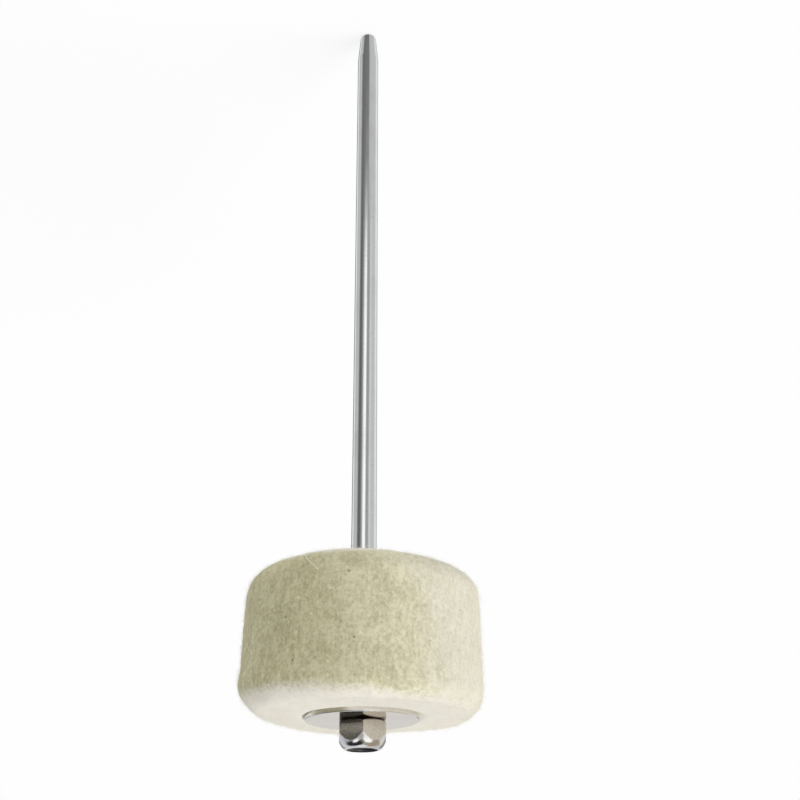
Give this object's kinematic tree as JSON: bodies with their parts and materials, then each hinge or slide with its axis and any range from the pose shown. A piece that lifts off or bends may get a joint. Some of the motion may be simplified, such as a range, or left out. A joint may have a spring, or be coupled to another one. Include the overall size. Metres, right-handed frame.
{
  "type": "bass drum beater",
  "caption": "Bass drum beater: a straight round steel rod that a pedal clamps, with a thick pressed-felt disc held at its end between washers by a lock nut.",
  "frame": {"origin": "centre of the rod's free tip, the lowest point of the beater when its head is up", "axes": "+Z along the rod from the free tip to the lock nut; the lock nut's corners point along Y"},
  "size_m": [0.054, 0.054, 0.205],
  "materials": {
    "rod_steel": "polished plating",
    "ring_steel": "dark phosphated spring steel",
    "washer_steel": "bright nickel plating",
    "nut_steel": "bright nickel plating",
    "nut_nylon": "dark nylon",
    "wool_felt": "pressed wool felt"
  },
  "bodies": {
    "rod": {"beater_rod": "rod_steel", "retaining_ring": "ring_steel", "rear_washer": "washer_steel"},
    "felt": {"felt_head": "wool_felt"},
    "clamp_washer": {"front_washer": "washer_steel"},
    "nut": {"lock_nut": "nut_steel", "lock_nut_insert": "nut_nylon"}
  },
  "joints": [
    {"name": "felt_turn", "type": "hinge", "parent": "rod", "child": "felt", "pos_m": [0, 0, 0.1828], "axis": [0, 0, 1], "continuous": true},
    {"name": "washer_travel", "type": "slide", "parent": "rod", "child": "clamp_washer", "axis": [0, 0, 1], "range_m": [0, 0.004]},
    {"name": "lock_nut_turn", "type": "hinge", "parent": "clamp_washer", "child": "nut", "pos_m": [0, 0, 0.202], "axis": [0, 0, 1], "range_deg": [0, 1440]}
  ],
  "couplings": [
    {"joint": "lock_nut_turn", "follows": "washer_travel", "rad_per_m": 6283.2}
  ]
}
